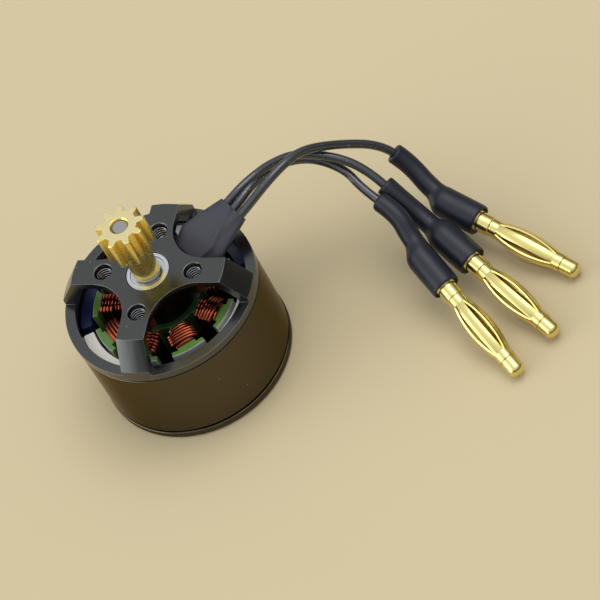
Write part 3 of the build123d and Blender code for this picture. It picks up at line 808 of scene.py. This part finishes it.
# %% Bevelled copies of machined pieces
def bevelled(node, name, width, body, node_slot, face_finish, edge_highlight_finish=None, segments=2, shape=None):
    """A copy of a solid with rounded creases, which stands for it."""
    obj = twin(node, name)
    if shape:
        shape(obj)
    obj.data.materials.append(face_finish)
    # Slot 1 goes to the bevel faces; an edge finish there is a painted highlight.
    obj.data.materials.append(edge_highlight_finish or face_finish)
    modify(obj, "BEVEL", width=width, segments=segments, limit_method="ANGLE", angle_limit=math.radians(28),
           use_clamp_overlap=True, material=1, harden_normals=False)
    smooth(obj, 50)
    modify(obj, "WEIGHTED_NORMAL", weight=100, keep_sharp=True)
    return put(obj, body, node_slot, node)


tip_thinning = 0.42
tooth_foot_r, tooth_height = 2.3 * MM, 1.2 * MM
teeth_low, gear_top = 26 * MM, 31.5 * MM
first_tooth_deg, tooth_step_deg = 23.0, 40.0
tube_r, tube_top = 5.2 * MM, 19.7 * MM


def narrow_tips(obj):
    """Thin the nine teeth towards their tips, as a small hob leaves them."""
    for vertex in obj.data.vertices:
        out = vertex.co.xy.length
        thin = tip_thinning * ease((out - tooth_foot_r) / tooth_height)
        if thin > 0 and vertex.co.z > teeth_low:
            angle = math.degrees(math.atan2(vertex.co.y, vertex.co.x)) - first_tooth_deg
            off = (angle + tooth_step_deg / 2) % tooth_step_deg - tooth_step_deg / 2
            turn = math.radians(-off * thin)
            vertex.co = Matrix.Rotation(turn, 3, "Z") @ vertex.co


mount = bevelled("front_mount", "machined_mount", 0.08 * MM, "stator", "anodised_black",
                 mount_black, edge_painted_highlight)
gear = bevelled("pinion", "machined_pinion", 0.05 * MM, "rotor", "pinion_brass", pinion_brass,
                shape=narrow_tips)
# The top faces take the paler brass, a painted highlight.
gear.data.materials.append(brass_painted_highlight)
for face in gear.data.polygons:
    if face.normal.z > 0.9 and face.center.z > gear_top:
        face.material_index = 2
core = bevelled("stator_core", "coated_stator", 0.18 * MM, "stator", "stator_green", stator_coat,
                segments=3)
# The bearing tube's faces inside the windows take the darker finish: painted shade under the face plate.
mount.data.materials.append(tube_painted_shade)
for face in mount.data.polygons:
    if face.center.xy.length < tube_r and face.center.z < tube_top:
        face.material_index = 2
print("bevelled:", len(mount.data.polygons), len(gear.data.polygons), len(core.data.polygons), "faces")

# %% [markdown]
# ## The turning can
# The can is a short steel tube with a crisp front edge. Only a hair of it shows in the running gap under
# the front mount, as a black line with a fine bright edge below it. A section of the tube is carried once
# round the shaft with the Screw modifier, with the front edge barely broken.

# %% Can
can_section = [(12.5, 1.6), (13.7, 1.6), (13.9, 1.8), (13.9, 14.42), (13.82, 14.5), (12.5, 14.5)]

rest()
bpy.ops.mesh.primitive_circle_add(vertices=len(can_section), radius=MM)
can = named("turned_can")
for vertex, (out, up) in zip(can.data.vertices, can_section):
    vertex.co = (out * MM, 0, up * MM)
modify(can, "SCREW", axis="Z", angle=2 * math.pi, steps=192, render_steps=192, use_merge_vertices=True,
       merge_threshold=0.001 * MM)
bpy.ops.object.mode_set(mode="EDIT")
bpy.ops.mesh.select_all(action="SELECT")
bpy.ops.mesh.remove_doubles(threshold=0.001 * MM)
bpy.ops.mesh.normals_make_consistent(inside=False)
bpy.ops.object.mode_set(mode="OBJECT")
can.data.materials.append(can_black)
put(smooth(can, 35), "rotor", "can_black", "flux_ring")
print("can:", len(can.data.polygons), "faces")

# %% [markdown]
# ## Windings
# Each of the nine teeth carries one length of enamelled copper wire. It is wound from the yoke outwards
# in seven turns side by side, and comes back over the outer four as a second layer. The turns cross the
# end of the tooth in a low arch, because stiff wire won't lie flat round a corner. One curve per tooth
# follows the wire turn by turn, with a little unevenness from turn to turn, as if wound by hand.

# %% Windings
wire_r = 0.25 * MM
tooth_half_w = 1.1 * MM
tooth_end_low, tooth_end_high = 5.0 * MM, 14.5 * MM
winding_start = 5.93 * MM
turn_pitch = 0.497 * MM
layer_turns = (7, 4)
arch = [(1.0, 0.0), (0.93, 0.42), (0.72, 0.76), (0.38, 0.96), (0.0, 1.0),
        (-0.38, 0.96), (-0.72, 0.76), (-0.93, 0.42), (-1.0, 0.0)]
arch_h = 0.52 * MM
stator_turn = math.radians(24)
corner_drop = 0.28 * MM
layer_out, layer_up, tooth_gap = 1.9, 1.75, 0.04 * MM
hand_shake = 0.03
hand = random.Random(7)


def winding_points():
    """The wire of one tooth in the tooth's own frame: X outwards, Y across, Z along the shaft."""
    points = []
    radial = winding_start
    for layer, turns in enumerate(layer_turns):
        step = turn_pitch if layer == 0 else -turn_pitch
        half = tooth_half_w + wire_r * (1 + layer_out * layer) + tooth_gap
        lift = layer_up * wire_r * layer
        for turn in range(turns):
            jitter = hand.uniform(-hand_shake, hand_shake) * MM
            loop = [(y * half, tooth_end_high - corner_drop + lift + z * arch_h) for y, z in arch]
            loop += [(-y * half, tooth_end_low + corner_drop - lift - z * arch_h) for y, z in arch]
            for k, (y, z) in enumerate(loop):
                points.append((radial + jitter + step * k / len(loop), y, z))
            radial += step
        radial -= step
    return points


windings = []
for tooth in range(9):
    curve = bpy.data.curves.new(f"winding_{tooth + 1}", "CURVE")
    curve.dimensions = "3D"
    wire = curve.splines.new("POLY")
    points = winding_points()
    wire.points.add(len(points) - 1)
    turn = Matrix.Rotation(stator_turn + tooth * math.radians(40), 4, "Z")
    for control, point in zip(wire.points, points):
        control.co = (*(turn @ Vector(point)), 1)
    curve.bevel_depth = wire_r
    curve.bevel_resolution = 2
    curve.use_fill_caps = True
    winding = bpy.data.objects.new(f"winding_{tooth + 1}", curve)
    bpy.context.collection.objects.link(winding)
    take(winding)
    bpy.ops.object.convert(target="MESH")
    winding.data.materials.append(wire_red)
    windings.append(put(smooth(winding, 60), "stator", "winding_copper", f"coil_{tooth + 1}"))
print("windings:", len(windings), "with", len(windings[0].data.polygons), "faces each")

# %% [markdown]
# ## Threads
# The four face holes take M2.5 screws. A thread is a ridge that climbs the wall by one pitch a turn, so
# a small section is carried round with the Screw modifier. The flanks take a near-black finish as painted
# shade, and the narrow crest a pale one as a painted highlight. The foot of the ridge lies a hair inside the
# wall.

# %% Threads
lip_r = 1.06 * MM
thread_section = [(1.29, 0.19), (1.07, 0.02), (1.02, -0.02), (1.29, -0.19)]
thread_pitch = 0.45 * MM
thread_low = 18.2 * MM
thread_turns = 5
screw_circle_r = 6.7 * MM


def thread(number, x, y):
    """One climbing ridge on the wall of a screw hole."""
    rest()
    bpy.ops.mesh.primitive_circle_add(vertices=len(thread_section), radius=MM)
    obj = named(f"face_thread_{number}")
    for vertex, (out, up) in zip(obj.data.vertices, thread_section):
        vertex.co = (out * MM, 0, up * MM)
    modify(obj, "SCREW", axis="Z", angle=2 * math.pi, screw_offset=thread_pitch, iterations=thread_turns,
           steps=32, render_steps=32, use_merge_vertices=False)
    bpy.ops.object.mode_set(mode="EDIT")
    bpy.ops.mesh.select_all(action="SELECT")
    bpy.ops.mesh.fill_holes(sides=len(thread_section))
    bpy.ops.mesh.normals_make_consistent(inside=False)
    bpy.ops.object.mode_set(mode="OBJECT")
    obj.data.materials.append(thread_painted_shade)
    obj.data.materials.append(thread_painted_highlight)
    # Faces inside the lip radius, the crests, take the painted highlight; the flanks keep the painted shade.
    for face in obj.data.polygons:
        face.material_index = int(face.center.xy.length < lip_r)
    obj.location = (x, y, thread_low)
    settle(obj)
    smooth(obj, 40)
    return put(obj, "stator", "anodised_black")


threads = []
for k in range(4):
    way = Matrix.Rotation(k * math.pi / 2, 3, "Z") @ Vector((screw_circle_r, 0, 0))
    threads.append(thread(k + 1, way.x, way.y))
print("threads:", len(threads), "with", len(threads[0].data.polygons), "faces each")

# %% [markdown]
# ## Solids that keep their shape
# Turned and ground parts are already right as plain solids: the bell, the bearings, the shaft, the magnets
# and the plugs. They only need their finish.

# %% Finishes of the solids that stay as they are
kept = {
    "rear_bell": can_black, "bell_grub_screws": dark_steel, "shaft": shaft_steel,
    "retaining_clip": shield_steel, "shim_washer": shaft_steel, "phase_tails": wire_red,
}
for end in ("front", "rear"):
    kept[f"{end}_bearing_outer_race"] = race_steel
    kept[f"{end}_bearing_inner_race"] = race_steel
    kept[f"{end}_bearing_balls"] = bearing_steel
    kept[f"{end}_bearing_cage"] = cage_brass
    kept[f"{end}_bearing_shields"] = race_steel
for number in range(1, 7):
    kept[f"magnet_{number}"] = magnet_nickel if number % 2 else magnet_blue
for number in range(1, 4):
    kept[f"plug_core_{number}"] = plug_gold
    kept[f"plug_spring_{number}"] = plug_gold
for node, material in kept.items():
    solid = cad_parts[node]
    solid.data.materials.clear()
    solid.data.materials.append(material)
print(len(kept), "solids keep their shape")

# %% [markdown]
# ## Hand the leads over
# Each lead is attached to the stator's body, and the loaded solid it stands for is hidden.

for number, name in enumerate(lead_routes, start=1):
    lead = put(leads[name], "stator", "lead_black", name)
